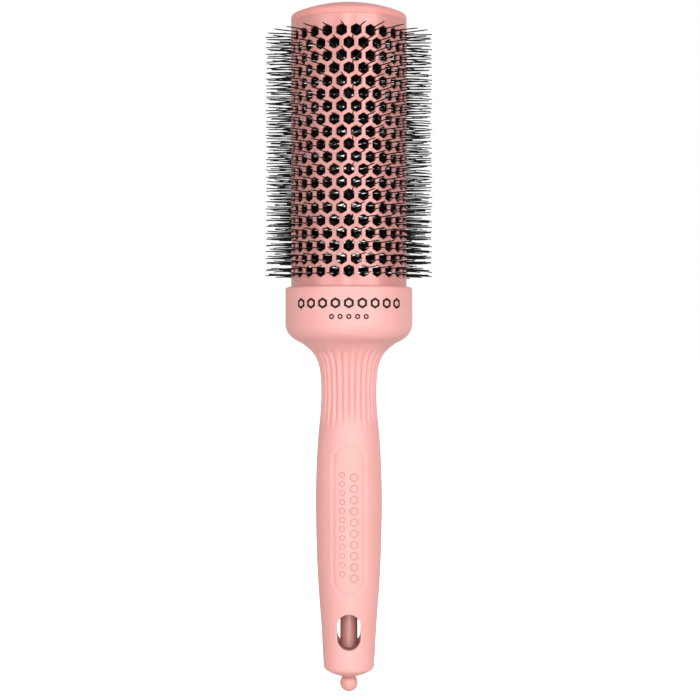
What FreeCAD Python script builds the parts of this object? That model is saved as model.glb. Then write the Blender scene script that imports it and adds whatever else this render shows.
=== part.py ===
"""Round barrel brush: vented thermal barrel, twisted-wire bristle core, soft-touch handle, sliding sectioning pin.

Lengths are in millimetres. +Z runs up the brush axis towards the barrel's tip, the handle's front (window and oval)
faces -Y, and the origin is on the axis in the middle of the collar band. Each object labelled with a node's name is
one sub-part and is written to parts/NODE.step.
"""

import FreeCAD, Part
import math
import os

import Sketcher

doc = FreeCAD.newDocument("brush")


# ---------------------------------------------------------------- sizes

SIZES = {
    # barrel tube and vents
    "barrel_radius": 22.5,
    "barrel_wall": 0.9,
    "barrel_bottom": -3.0,
    "barrel_top": 111.0,
    "vent_columns": 25,
    "vent_rows": 20,
    "vent_first": 13.5,
    "vent_pitch": 4.79,
    "vent_flats": 4.1,
    # domed cap
    "cap_apex": 118.3,
    "cap_dome_radius": 50.0,
    "cap_edge_radius": 2.5,
    "cap_spigot_bottom": 108.7,
    "cap_spigot_wall": 1.6,
    "cap_ceiling": 113.4,
    "cap_boss_radius": 4.4,
    # hubs that centre the wires
    "front_hub_bottom": 107.0,
    "front_hub_thick": 1.6,
    "front_hub_top": 110.6,
    "hub_rim_wall": 1.8,
    "front_boss_radius": 4.0,
    "spoke_count": 6,
    "spoke_width": 2.4,
    "rear_hub_top": 8.6,
    "rear_hub_floor": 3.0,
    "rear_boss_radius": 5.0,
    "rear_boss_top": 9.6,
    # twisted stem wires and what grips them
    "wire_radius": 0.95,
    "wire_lay": 1.0,
    "wire_twist": 14.0,
    "wire_bottom": -40.0,
    "wire_top": 110.2,
    "wire_clearance": 0.3,
    "crimp_gap": 0.1,
    "ferrule_wall": 0.6,
    "ferrule_length": 3.5,
    "sleeve_radius": 3.5,
    "sleeve_bottom": -42.0,
    "sleeve_top": -5.0,
    # bristle rings
    "bristle_radius": 0.19,
    "bristle_reach": 32.5,
    "bristle_turn_high": 3.2,
    "bristle_turn_low": 0.2,
    "bristle_high": 1.3,
    "bristle_low": -0.9,
    "bristle_root": 2.35,
    # fixing of the barrel to the handle
    "screw_circle": 12.0,
    "screw_count": 3,
    "screw_shank": 1.25,
    "screw_clearance": 0.35,
    "screw_head": 2.7,
    "screw_head_depth": 1.8,
    "screw_length": 11.0,
    "heat_ring_thick": 1.0,
    "heat_ring_bore": 6.0,
    # handle
    "collar_radius": 24.7,
    "collar_top": 8.0,
    "collar_edge": 1.0,
    "collar_band_bottom": -6.0,
    "socket_gap": 0.05,
    "skin": 1.0,
    "handle_side_end": -139.4,
    "handle_end": -143.3,
    "handle_end_radius": 9.88,
    "handle_end_round": 1.6,
    "handle_end_dome": 16.34,
    "window_centre": -125.0,
    "window_tall": 13.8,
    "window_wide": 9.0,
    "oval_centre": -81.6,
    "oval_tall": 59.2,
    "oval_wide": 13.6,
    "oval_line": 1.6,
    "oval_deep": 0.25,
    "flute_count": 26,
    "flute_radius": 1.0,
    "flute_deep": 0.55,
    "flute_top": -14.6,
    "flute_bottom": -47.0,
    # sectioning pin and its guide
    "tube_radius": 3.4,
    "tube_bore": 2.9,
    "tube_top": -74.0,
    "bush_radius": 4.2,
    "bush_edge": -142.95,
    "bush_top": -134.3,
    "pin_radius": 2.4,
    "pin_running_gap": 0.05,
    "pin_top": -76.3,
    "pin_neck_radius": 1.9,
    "stop_ring_bottom": -79.0,
    "stop_ring_top": -77.0,
    "stop_ring_radius": 2.8,
    "bumper_bottom": -75.9,
    "detent_height": -138.4,
    "detent_section": 0.4,
    "ball_centre": -146.0,
    "ball_radius": 3.5,
    "ball_socket_radius": 1.5,
    "ball_socket_bottom": -147.2,
    "ball_neck_height": -143.5,
}

# Outer outline of the handle below the collar band: height, radius.
HANDLE_STATIONS = (
    (-9.2, 23.95),
    (-11.33, 22.27),
    (-12.5, 20.63),
    (-13.67, 18.42),
    (-15.5, 15.95),
    (-17.6, 13.84),
    (-20.7, 12.13),
    (-25.4, 11.14),
    (-33.2, 10.78),
    (-40.0, 11.02),
    (-46.0, 11.6),
    (-55.0, 12.3),
    (-66.0, 12.77),
    (-76.0, 12.94),
    (-86.0, 12.84),
    (-96.0, 12.55),
    (-106.0, 12.05),
    (-116.0, 11.35),
    (-126.0, 10.62),
    (-133.0, 10.24),
)

sheet = doc.addObject("Spreadsheet::Sheet", "Sizes")
row = 0
for alias, number in SIZES.items():
    row += 1
    sheet.set("A%d" % row, alias)
    sheet.set("B%d" % row, "%g" % number)
    sheet.setAlias("B%d" % row, alias)
for index, (height, radius) in enumerate(HANDLE_STATIONS):
    row += 1
    sheet.set("A%d" % row, "station_height_%02d" % index)
    sheet.set("B%d" % row, "%g" % height)
    sheet.setAlias("B%d" % row, "station_height_%02d" % index)
    row += 1
    sheet.set("A%d" % row, "station_radius_%02d" % index)
    sheet.set("B%d" % row, "%g" % radius)
    sheet.setAlias("B%d" % row, "station_radius_%02d" % index)
doc.recompute()


class Dim:
    """A size that remembers the spreadsheet formula it comes from."""

    def __init__(self, value, formula):
        self.value = float(value)
        self.formula = formula

    @staticmethod
    def of(other):
        """Turn a plain number into a Dim."""
        if isinstance(other, Dim):
            return other
        return Dim(other, "(%r)" % float(other))

    def join(self, other, sign, value):
        other = Dim.of(other)
        return Dim(value, "(%s %s %s)" % (self.formula, sign, other.formula))

    def __add__(self, other):
        return self.join(other, "+", self.value + Dim.of(other).value)

    def __sub__(self, other):
        return self.join(other, "-", self.value - Dim.of(other).value)

    def __mul__(self, other):
        return self.join(other, "*", self.value * Dim.of(other).value)

    def __truediv__(self, other):
        return self.join(other, "/", self.value / Dim.of(other).value)


def size(alias):
    """Read one named cell as a Dim."""
    return Dim(sheet.get(alias), "Sizes." + alias)


def number(alias):
    """Read one named cell as a plain number."""
    return float(sheet.get(alias))


NOTHING = Dim(0.0, "0")


# ---------------------------------------------------------------- helpers

nodes = {}


def finish(node, thing):
    """Label an object as a finished sub-part."""
    thing.Label = node
    nodes[node] = thing
    return thing


def origin_plane(body, role):
    """Find one of a body's own origin planes."""
    for feature in body.Origin.OriginFeatures:
        if feature.Role == role:
            return feature
    raise ValueError(role)


def bind_vertex(sketch, geometry, place, tag, spot):
    """Fix one end of a sketch edge to sheet sizes: its radius and its height."""
    radius, height = Dim.of(spot[0]), Dim.of(spot[1])
    if abs(radius.value) < 1e-9:
        sketch.addConstraint(Sketcher.Constraint("PointOnObject", geometry, place, -2))
    else:
        index = sketch.addConstraint(Sketcher.Constraint("DistanceX", -1, 1, geometry, place, radius.value))
        sketch.renameConstraint(index, "radius_" + tag)
        sketch.setExpression("Constraints.radius_" + tag, radius.formula)
    if abs(height.value) < 1e-9:
        sketch.addConstraint(Sketcher.Constraint("PointOnObject", geometry, place, -1))
    else:
        index = sketch.addConstraint(Sketcher.Constraint("DistanceY", -1, 1, geometry, place, height.value))
        sketch.renameConstraint(index, "height_" + tag)
        sketch.setExpression("Constraints.height_" + tag, height.formula)


def turn(name, outline, arcs=None):
    """Turn a closed outline about the axis as a body with one bound sketch and one revolution.

    outline lists (radius, height) corners in order. arcs maps a corner's index to (radius, bulge side) of the arc
    that leaves it towards the next corner: side +1 bulges to the right of the way forward, -1 to the left.
    """
    arcs = arcs or {}
    body = doc.addObject("PartDesign::Body", name + "_body")
    sketch = body.newObject("Sketcher::SketchObject", name + "_outline")
    sketch.AttachmentSupport = [(origin_plane(body, "XZ_Plane"), "")]
    sketch.MapMode = "FlatFace"
    corners = [FreeCAD.Vector(Dim.of(r).value, Dim.of(z).value, 0) for r, z in outline]
    count = len(corners)
    ends = []
    for index in range(count):
        start, stop = corners[index], corners[(index + 1) % count]
        if index in arcs:
            bend, side = arcs[index]
            bend = Dim.of(bend)
            chord = stop - start
            middle = (start + stop) * 0.5
            rise = math.sqrt(max(bend.value ** 2 - (chord.Length / 2) ** 2, 0.0))
            across = FreeCAD.Vector(chord.y, -chord.x, 0).normalize() * side
            crest = middle + across * (bend.value - rise)
            edge = sketch.addGeometry(Part.Arc(start, crest, stop), False)
            forward = sketch.getPoint(edge, 1).distanceToPoint(start) < 1e-6
            ends.append((edge, 1 if forward else 2, 2 if forward else 1))
            radius_index = sketch.addConstraint(Sketcher.Constraint("Radius", edge, bend.value))
            sketch.renameConstraint(radius_index, "bend_%d" % index)
            sketch.setExpression("Constraints.bend_%d" % index, bend.formula)
        else:
            edge = sketch.addGeometry(Part.LineSegment(start, stop), False)
            ends.append((edge, 1, 2))
    for index in range(count):
        edge, first, last = ends[index]
        following, follow_first, follow_last = ends[(index + 1) % count]
        sketch.addConstraint(Sketcher.Constraint("Coincident", edge, last, following, follow_first))
        bind_vertex(sketch, edge, first, str(index), outline[index])
    revolution = body.newObject("PartDesign::Revolution", name + "_turned")
    revolution.Profile = (sketch, [""])
    revolution.ReferenceAxis = (sketch, ["V_Axis"])
    revolution.Angle = 360
    body.Tip = revolution
    return body


def rod(name, radius, bottom, top, spot=(0.0, 0.0)):
    """A bound upright cylinder from bottom to top."""
    radius, bottom, top = Dim.of(radius), Dim.of(bottom), Dim.of(top)
    cylinder = doc.addObject("Part::Cylinder", name)
    cylinder.setExpression("Radius", radius.formula)
    cylinder.setExpression("Height", (top - bottom).formula)
    cylinder.Placement.Base = FreeCAD.Vector(spot[0], spot[1], bottom.value)
    cylinder.setExpression("Placement.Base.z", bottom.formula)
    return cylinder


def ring_of_rods(name, radius, bottom, top, circle, count, first_angle=0.0):
    """Bound cylinders spaced evenly on a circle, as one compound."""
    members = []
    for index in range(count):
        angle = math.radians(first_angle + 360.0 * index / count)
        member = rod("%s_%d" % (name, index), radius, bottom, top)
        member.setExpression("Placement.Base.x", "(%s) * %.9f" % (circle.formula, math.cos(angle)))
        member.setExpression("Placement.Base.y", "(%s) * %.9f" % (circle.formula, math.sin(angle)))
        members.append(member)
    group = doc.addObject("Part::Compound", name)
    group.Links = members
    return group


def cut(name, base, tool):
    """One boolean cut."""
    result = doc.addObject("Part::Cut", name)
    result.Base = base
    result.Tool = tool
    return result


def shaped(name, shape):
    """A plain feature for a shape that neither a body nor a primitive gives, sized from the sheet in code."""
    feature = doc.addObject("Part::Feature", name)
    feature.Shape = shape
    return feature


# ---------------------------------------------------------------- barrel

barrel_radius = size("barrel_radius")
barrel_inside = barrel_radius - size("barrel_wall")

barrel_tube = turn("barrel_tube", [
    (barrel_inside, size("barrel_bottom")),
    (barrel_radius, size("barrel_bottom")),
    (barrel_radius, size("barrel_top")),
    (barrel_inside, size("barrel_top")),
])


def vent_prism(turn_degrees, height):
    """One radial hexagonal prism with a corner pointing up, through the front of the tube wall."""
    half = number("vent_flats") / 2
    corner = half / math.cos(math.radians(30))
    near = number("barrel_radius") + 1.5
    far = number("barrel_radius") - number("barrel_wall") - 1.5
    points = []
    for index in range(7):
        angle = math.radians(90 + 60 * index)
        points.append(FreeCAD.Vector(corner * math.cos(angle), -near, corner * math.sin(angle) + height))
    prism = Part.Face(Part.makePolygon(points)).extrude(FreeCAD.Vector(0, near - far, 0))
    prism.rotate(FreeCAD.Vector(0, 0, 0), FreeCAD.Vector(0, 0, 1), turn_degrees)
    return prism


columns = int(number("vent_columns"))
rows = int(number("vent_rows"))
column_angle = 360.0 / columns
vents = []
for level in range(rows):
    height = number("vent_first") + level * number("vent_pitch")
    for column in range(columns):
        vents.append(vent_prism((column + 0.5 * (level % 2)) * column_angle, height))
vent_cutters = shaped("vent_cutters", Part.makeCompound(vents))
finish("barrel_shell", cut("barrel_vented", barrel_tube, vent_cutters))

edge_radius = size("cap_edge_radius")
dome_radius = size("cap_dome_radius")
dome_centre = number("cap_apex") - number("cap_dome_radius")
edge_centre_radius = number("barrel_radius") - number("cap_edge_radius")
edge_reach = number("cap_dome_radius") - number("cap_edge_radius")
edge_centre_height = dome_centre + math.sqrt(edge_reach ** 2 - edge_centre_radius ** 2)
lean = math.atan2(edge_centre_height - dome_centre, edge_centre_radius)
tangent_radius = number("cap_dome_radius") * math.cos(lean)
tangent_height = dome_centre + number("cap_dome_radius") * math.sin(lean)
spigot_inside = barrel_inside - size("cap_spigot_wall")
finish("barrel_cap", turn("barrel_cap", [
    (NOTHING, size("cap_apex")),
    (NOTHING, size("cap_ceiling")),
    (size("front_boss_radius") + 0.05, size("cap_ceiling")),
    (size("front_boss_radius") + 0.05, size("front_hub_top") - 1.0),
    (size("cap_boss_radius") + 1.2, size("front_hub_top") - 1.0),
    (size("cap_boss_radius") + 1.2, size("cap_ceiling")),
    (spigot_inside, size("cap_ceiling")),
    (spigot_inside, size("cap_spigot_bottom")),
    (barrel_inside, size("cap_spigot_bottom")),
    (barrel_inside, size("barrel_top")),
    (barrel_radius, size("barrel_top")),
    (barrel_radius, Dim.of(edge_centre_height)),
    (Dim.of(tangent_radius), Dim.of(tangent_height)),
], arcs={11: (edge_radius, 1), 12: (dome_radius, 1)}))


# ---------------------------------------------------------------- hubs, wires, ferrule, sleeve

wire_envelope = size("wire_radius") + size("wire_lay")
crimp_bore = wire_envelope + size("crimp_gap")
ferrule_outside = crimp_bore + size("ferrule_wall")


def spoked_disc(name, body, rim_inside, hub_radius, bottom, top, first_angle):
    """Cut air gaps between spokes out of a turned disc."""
    gaps = []
    count = int(number("spoke_count"))
    half_width = number("spoke_width") / 2
    for index in range(count):
        sector = Part.makeCylinder(rim_inside, top - bottom, FreeCAD.Vector(0, 0, bottom),
                                   FreeCAD.Vector(0, 0, 1), 360.0 / count)
        sector = sector.cut(Part.makeCylinder(hub_radius, top - bottom, FreeCAD.Vector(0, 0, bottom)))
        for side in (0.0, 360.0 / count):
            bar = Part.makeBox(rim_inside + 1, 2 * half_width, top - bottom,
                               FreeCAD.Vector(0, -half_width, bottom))
            bar.rotate(FreeCAD.Vector(0, 0, 0), FreeCAD.Vector(0, 0, 1), side)
            sector = sector.cut(bar)
        sector.rotate(FreeCAD.Vector(0, 0, 0), FreeCAD.Vector(0, 0, 1), first_angle + index * 360.0 / count)
        gaps.append(sector)
    return cut(name, body, shaped(name + "_gaps", Part.makeCompound(gaps)))


front_hub = turn("front_hub_disc", [
    (ferrule_outside, size("front_hub_bottom")),
    (barrel_inside, size("front_hub_bottom")),
    (barrel_inside, size("front_hub_bottom") + size("front_hub_thick")),
    (size("front_boss_radius"), size("front_hub_bottom") + size("front_hub_thick")),
    (size("front_boss_radius"), size("front_hub_top")),
    (ferrule_outside, size("front_hub_top")),
])
finish("front_hub", spoked_disc("front_hub_spoked", front_hub,
                                barrel_inside.value - number("hub_rim_wall"), number("front_boss_radius") + 1.5,
                                number("front_hub_bottom") - 1,
                                number("front_hub_bottom") + number("front_hub_thick") + 1, 0.0))

rear_floor_top = size("barrel_bottom") + size("rear_hub_floor")
rear_bore = wire_envelope + size("wire_clearance")
rear_hub = turn("rear_hub_cup", [
    (rear_bore, size("barrel_bottom")),
    (barrel_inside, size("barrel_bottom")),
    (barrel_inside, size("rear_hub_top")),
    (barrel_inside - size("hub_rim_wall"), size("rear_hub_top")),
    (barrel_inside - size("hub_rim_wall"), rear_floor_top),
    (size("rear_boss_radius"), rear_floor_top),
    (size("rear_boss_radius"), size("rear_boss_top")),
    (rear_bore, size("rear_boss_top")),
])
screw_hole = size("screw_shank") + size("screw_clearance")
hub_screw_holes = ring_of_rods("hub_screw_holes", screw_hole, size("barrel_bottom") - 1.0, rear_floor_top + 1.0,
                               size("screw_circle"), int(number("screw_count")), 90.0)
finish("rear_hub", cut("rear_hub_drilled", rear_hub, hub_screw_holes))


def stem_wire(first_angle):
    """One strand of the twisted pair, a round wire wound on a helix."""
    bottom, top = number("wire_bottom"), number("wire_top")
    radius = number("wire_radius")
    helix = Part.makeHelix(number("wire_twist"), top - bottom, number("wire_lay"))
    start = helix.Edges[0].valueAt(helix.Edges[0].FirstParameter)
    heading = helix.Edges[0].tangentAt(helix.Edges[0].FirstParameter)
    section = Part.Wire(Part.Circle(start, heading, radius).toShape())
    pipe = Part.Wire(helix.Edges).makePipeShell([section], True, True)
    pipe.translate(FreeCAD.Vector(0, 0, bottom))
    pipe.rotate(FreeCAD.Vector(0, 0, 0), FreeCAD.Vector(0, 0, 1), first_angle)
    return pipe


finish("core_wire_1", shaped("stem_wire_1", stem_wire(0.0)))
finish("core_wire_2", shaped("stem_wire_2", stem_wire(180.0)))

finish("wire_ferrule", turn("wire_ferrule", [
    (crimp_bore, size("front_hub_bottom")),
    (ferrule_outside, size("front_hub_bottom")),
    (ferrule_outside, size("front_hub_bottom") + size("ferrule_length")),
    (crimp_bore, size("front_hub_bottom") + size("ferrule_length")),
]))
finish("stem_sleeve", turn("stem_sleeve", [
    (NOTHING, size("sleeve_bottom")),
    (size("sleeve_radius"), size("sleeve_bottom")),
    (size("sleeve_radius"), size("sleeve_top")),
    (crimp_bore, size("sleeve_top")),
    (crimp_bore, size("wire_bottom")),
    (NOTHING, size("wire_bottom")),
]))


# ---------------------------------------------------------------- bristle rings

def folded_filament():
    """One filament folded to a U round the wires: two radial legs and the short bend that joins their roots."""
    thick = number("bristle_radius")
    start = number("bristle_root")
    roots = []
    legs = []
    for turn_degrees, level in ((number("bristle_turn_high"), number("bristle_high")),
                                (number("bristle_turn_low"), number("bristle_low"))):
        angle = math.radians(-90.0 + turn_degrees)
        way = FreeCAD.Vector(math.cos(angle), math.sin(angle), 0)
        root = way * start + FreeCAD.Vector(0, 0, level)
        roots.append(root)
        legs.append(Part.makeCylinder(thick, number("bristle_reach") - start, root, way))
        legs.append(Part.makeSphere(thick, root))
    bend = roots[1] - roots[0]
    legs.append(Part.makeCylinder(thick, bend.Length, roots[0], bend))
    return legs[0].fuse(legs[1:])


def bristle_ring_shape():
    """The folded filaments of one vent row, one for each vent, as separate solids."""
    filament = folded_filament()
    copies = []
    for column in range(columns):
        copy = filament.copy()
        copy.rotate(FreeCAD.Vector(0, 0, 0), FreeCAD.Vector(0, 0, 1), column * column_angle)
        copies.append(copy)
    return Part.makeCompound(copies)


ring_shape = bristle_ring_shape()
for level in range(rows):
    ring = shaped("filaments_%02d" % (level + 1), ring_shape.copy())
    ring.Placement = FreeCAD.Placement(
        FreeCAD.Vector(0, 0, number("vent_first") + level * number("vent_pitch")),
        FreeCAD.Rotation(FreeCAD.Vector(0, 0, 1), 0.5 * (level % 2) * column_angle))
    ring.setExpression("Placement.Base.z", "Sizes.vent_first + %d * Sizes.vent_pitch" % level)
    finish("bristle_ring_%02d" % (level + 1), ring)


# ---------------------------------------------------------------- screws and heat-break ring

ring_top = size("barrel_bottom")
ring_bottom = size("barrel_bottom") - size("heat_ring_thick")
heat_ring = turn("heat_ring_blank", [
    (size("heat_ring_bore"), ring_bottom),
    (barrel_radius, ring_bottom),
    (barrel_radius, ring_top),
    (size("heat_ring_bore"), ring_top),
])
ring_screw_holes = ring_of_rods("ring_screw_holes", screw_hole, ring_bottom - 1.0, ring_top + 1.0,
                                size("screw_circle"), int(number("screw_count")), 90.0)
finish("heat_break_ring", cut("heat_ring_drilled", heat_ring, ring_screw_holes))


def screw_shape(angle_degrees):
    """One pan-head tapping screw with a cross recess, seated on the rear hub's floor."""
    seat = number("barrel_bottom") + number("rear_hub_floor")
    head_radius = number("screw_head")
    head_depth = number("screw_head_depth")
    shank = number("screw_shank")
    head = Part.makeCylinder(head_radius, head_depth, FreeCAD.Vector(0, 0, seat))
    head = head.makeFillet(head_depth * 0.45, [head.Edges[0]])
    length = number("screw_length")
    body = Part.makeCylinder(shank, length - shank, FreeCAD.Vector(0, 0, seat - length + shank))
    point = Part.makeCone(0.25, shank, shank, FreeCAD.Vector(0, 0, seat - length))
    screw = head.fuse([body, point])
    for side in (0.0, 90.0):
        slot = Part.makeBox(head_radius * 1.1, 0.6, head_depth,
                            FreeCAD.Vector(-head_radius * 0.55, -0.3, seat + head_depth * 0.45))
        slot.rotate(FreeCAD.Vector(0, 0, 0), FreeCAD.Vector(0, 0, 1), side)
        screw = screw.cut(slot)
    angle = math.radians(angle_degrees)
    circle = number("screw_circle")
    screw.translate(FreeCAD.Vector(circle * math.cos(angle), circle * math.sin(angle), 0))
    return screw


screw_angles = [90.0 + 360.0 * index / int(number("screw_count")) for index in range(int(number("screw_count")))]
finish("hub_screws", shaped("tapping_screws", Part.makeCompound([screw_shape(angle) for angle in screw_angles])))


# ---------------------------------------------------------------- handle

stations = [(float(sheet.get("station_height_%02d" % index)), float(sheet.get("station_radius_%02d" % index)))
            for index in range(len(HANDLE_STATIONS))]
band_bottom = number("collar_band_bottom")
side_end = number("handle_side_end")
end_round = number("handle_end_round")
end_radius = number("handle_end_radius")
end_dome = number("handle_end_dome")

waist_points = [FreeCAD.Vector(number("collar_radius"), 0, band_bottom),
                FreeCAD.Vector(number("collar_radius") - 0.01, 0, band_bottom - 0.6)]
waist_points += [FreeCAD.Vector(radius, 0, height) for height, radius in stations]
waist_points.append(FreeCAD.Vector(end_radius, 0, side_end))


def smooth_curve(points):
    """Smooth curve through points, run by the distance between them."""
    distances = [0.0]
    for before, after in zip(points, points[1:]):
        distances.append(distances[-1] + (after - before).Length)
    curve = Part.BSplineCurve()
    curve.interpolate(Points=points, Parameters=distances)
    return curve


waist = smooth_curve(waist_points)


def inset_curve(depth):
    """The handle's outer curve moved inwards square to itself."""
    points = []
    steps = 72
    for index in range(steps + 1):
        parameter = waist.FirstParameter + (waist.LastParameter - waist.FirstParameter) * index / steps
        spot = waist.value(parameter)
        heading = waist.tangent(parameter)[0]
        points.append(spot + FreeCAD.Vector(heading.z, 0, -heading.x) * depth)
    return smooth_curve(points)


def handle_solid(curve, depth):
    """Solid of revolution under the handle's surface, inset by depth."""
    top = number("collar_top") - depth
    radius = number("collar_radius") - depth
    edge = max(number("collar_edge") - depth * 0.5, 0.2)
    start = curve.value(curve.FirstParameter)
    stop = curve.value(curve.LastParameter)
    corner = end_round - depth
    dome = end_dome - depth
    reach = stop.x - corner
    rise = math.sqrt((dome - corner) ** 2 - reach ** 2)
    centre = stop.z + rise
    lean = math.atan2(rise, reach)
    middle = math.sqrt(0.5)

    def on_corner(angle):
        return FreeCAD.Vector(reach + corner * math.cos(angle), 0, stop.z - corner * math.sin(angle))

    def on_dome(angle):
        return FreeCAD.Vector(dome * math.cos(angle), 0, centre - dome * math.sin(angle))

    bottom = centre - dome
    edges = [
        Part.LineSegment(FreeCAD.Vector(0, 0, top), FreeCAD.Vector(radius - edge, 0, top)),
        Part.Arc(FreeCAD.Vector(radius - edge, 0, top),
                 FreeCAD.Vector(radius - edge + edge * middle, 0, top - edge + edge * middle),
                 FreeCAD.Vector(radius, 0, top - edge)),
        Part.LineSegment(FreeCAD.Vector(radius, 0, top - edge), start),
        curve,
        Part.Arc(stop, on_corner(lean / 2), on_dome(lean)),
        Part.Arc(on_dome(lean), on_dome((lean + math.pi / 2) / 2), FreeCAD.Vector(0, 0, bottom)),
        Part.LineSegment(FreeCAD.Vector(0, 0, bottom), FreeCAD.Vector(0, 0, top)),
    ]
    outline = Part.Wire([piece.toShape() for piece in edges])
    return Part.Face(outline).revolve(FreeCAD.Vector(0, 0, 0), FreeCAD.Vector(0, 0, 1), 360)


def stadium(width, height, front, back):
    """Upright round-ended slot shape, extruded along Y."""
    radius = width / 2
    straight = height / 2 - radius
    left, right = FreeCAD.Vector(-radius, front, 0), FreeCAD.Vector(radius, front, 0)
    lift = FreeCAD.Vector(0, 0, straight)
    crown = FreeCAD.Vector(0, front, straight + radius)
    foot = FreeCAD.Vector(0, front, -straight - radius)
    outline = Part.Wire([
        Part.LineSegment(right - lift, right + lift).toShape(),
        Part.Arc(right + lift, crown, left + lift).toShape(),
        Part.LineSegment(left + lift, left - lift).toShape(),
        Part.Arc(left - lift, foot, right - lift).toShape(),
    ])
    return Part.Face(outline).extrude(FreeCAD.Vector(0, back - front, 0))


skin = number("skin")
outer_solid = handle_solid(waist, 0.0)
core_solid = handle_solid(inset_curve(skin), skin)

socket_radius = barrel_radius + size("socket_gap")
socket = rod("socket_bore", socket_radius, ring_bottom, size("collar_top") + 1.0)
sleeve_bore = rod("sleeve_bore", size("sleeve_radius"), size("sleeve_bottom"), ring_bottom + 1.0)
tube_bore = rod("tube_bore", size("tube_radius"), size("handle_end") - 1.0, size("tube_top"))
bush_bore = rod("bush_bore", size("bush_radius"), size("handle_end") - 1.0, size("bush_top"))
pilot_holes = ring_of_rods("pilot_holes", size("screw_shank"), rear_floor_top - size("screw_length") - 0.4,
                           ring_bottom + 1.0, size("screw_circle"), int(number("screw_count")), 90.0)
window_shape = stadium(number("window_wide"), number("window_tall"), -30.0, 30.0)
window_shape.translate(FreeCAD.Vector(0, 0, number("window_centre")))
window = shaped("window_slot", window_shape)

core_bores = doc.addObject("Part::Compound", "core_bores")
core_bores.Links = [sleeve_bore, pilot_holes]
core_turned = shaped("core_turned", core_solid)
core_step = cut("core_socketed", core_turned, socket)
core_step = cut("core_bored", core_step, core_bores)
core_step = cut("core_tube_bored", core_step, tube_bore)
core_step = cut("core_bush_bored", core_step, bush_bore)
finish("handle_core", cut("core_windowed", core_step, window))


def flute_cutters():
    """Round cutters that follow the neck's outline and fade out at both ends."""
    top, bottom = number("flute_top"), number("flute_bottom")
    radius, deep = number("flute_radius"), number("flute_deep")
    points = []
    steps = 24
    for index in range(steps + 1):
        share = index / steps
        parameter = waist.parameter(waist_at(top + (bottom - top) * share))
        spot = waist.value(parameter)
        heading = waist.tangent(parameter)[0]
        outwards = FreeCAD.Vector(-heading.z, 0, heading.x)
        fade = max(0.0, 1.0 - share / 0.16, (share - 0.72) / 0.28)
        fade = fade * fade * (3 - 2 * fade)
        points.append(spot + outwards * (radius - deep + (deep + 0.06) * fade))
    path = smooth_curve(points)
    spine = Part.Wire([path.toShape()])
    start = path.value(path.FirstParameter)
    heading = path.tangent(path.FirstParameter)[0]
    section = Part.Wire(Part.Circle(start, heading, radius).toShape())
    cutter = spine.makePipeShell([section], True, True)
    count = int(number("flute_count"))
    copies = []
    for index in range(count):
        copy = cutter.copy()
        copy.rotate(FreeCAD.Vector(0, 0, 0), FreeCAD.Vector(0, 0, 1), -90.0 + 360.0 * index / count)
        copies.append(copy)
    return Part.makeCompound(copies)


def waist_at(height):
    """Point of the handle's outer curve at a height, found by halving."""
    low, high = waist.FirstParameter, waist.LastParameter
    for _ in range(60):
        middle = (low + high) / 2
        if waist.value(middle).z > height:
            low = middle
        else:
            high = middle
    return waist.value((low + high) / 2)


def oval_groove():
    """The engraved oval line on the handle's front, a shallow groove of even depth."""
    line = number("oval_line")
    wide, tall = number("oval_wide"), number("oval_tall")
    outside = stadium(wide, tall, -20.0, -5.0)
    inside = stadium(wide - 2 * line, tall - 2 * line, -21.0, -4.0)
    groove = outside.cut(inside)
    groove.translate(FreeCAD.Vector(0, 0, number("oval_centre")))
    return groove.cut(handle_solid(inset_curve(number("oval_deep")), number("oval_deep")))


grip_turned = shaped("grip_turned", outer_solid)
grip_step = cut("grip_hollowed", grip_turned, shaped("core_copy", core_solid.copy()))
grip_socket = rod("grip_socket", socket_radius, size("collar_top") - 3.0, size("collar_top") + 1.0)
grip_step = cut("grip_mouth", grip_step, grip_socket)
grip_tail = rod("grip_tail", size("bush_radius"), size("handle_end") - 1.0, size("handle_end") + 3.0)
grip_step = cut("grip_tailed", grip_step, grip_tail)
grip_step = cut("grip_windowed", grip_step, window)
grip_step = cut("grip_engraved", grip_step, shaped("oval_groove", oval_groove()))
finish("handle_grip", cut("grip_fluted", grip_step, shaped("flute_cutters", flute_cutters())))


# ---------------------------------------------------------------- pin guide and sectioning pin

finish("pin_guide_tube", turn("pin_guide_tube", [
    (size("tube_bore"), size("bush_top")),
    (size("tube_radius"), size("bush_top")),
    (size("tube_radius"), size("tube_top")),
    (size("tube_bore"), size("tube_top")),
]))
finish("pin_bumper", turn("pin_bumper", [
    (NOTHING, size("bumper_bottom")),
    (size("tube_bore"), size("bumper_bottom")),
    (size("tube_bore"), size("tube_top")),
    (NOTHING, size("tube_top")),
]))

pin_bore = size("pin_radius") + size("pin_running_gap")
detent_outside = pin_bore + size("detent_section") * 2
finish("tail_bush", turn("tail_bush", [
    (pin_bore, size("handle_end")),
    (size("bush_radius"), size("bush_edge")),
    (size("bush_radius"), size("bush_top")),
    (pin_bore, size("bush_top")),
    (pin_bore, size("detent_height") + size("detent_section")),
    (detent_outside, size("detent_height") + size("detent_section")),
    (detent_outside, size("detent_height") - size("detent_section")),
    (pin_bore, size("detent_height") - size("detent_section")),
]))
detent = doc.addObject("Part::Torus", "detent_torus")
detent.setExpression("Radius1", (pin_bore + size("detent_section")).formula)
detent.setExpression("Radius2", size("detent_section").formula)
detent.setExpression("Placement.Base.z", size("detent_height").formula)
finish("detent_ring", detent)

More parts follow.
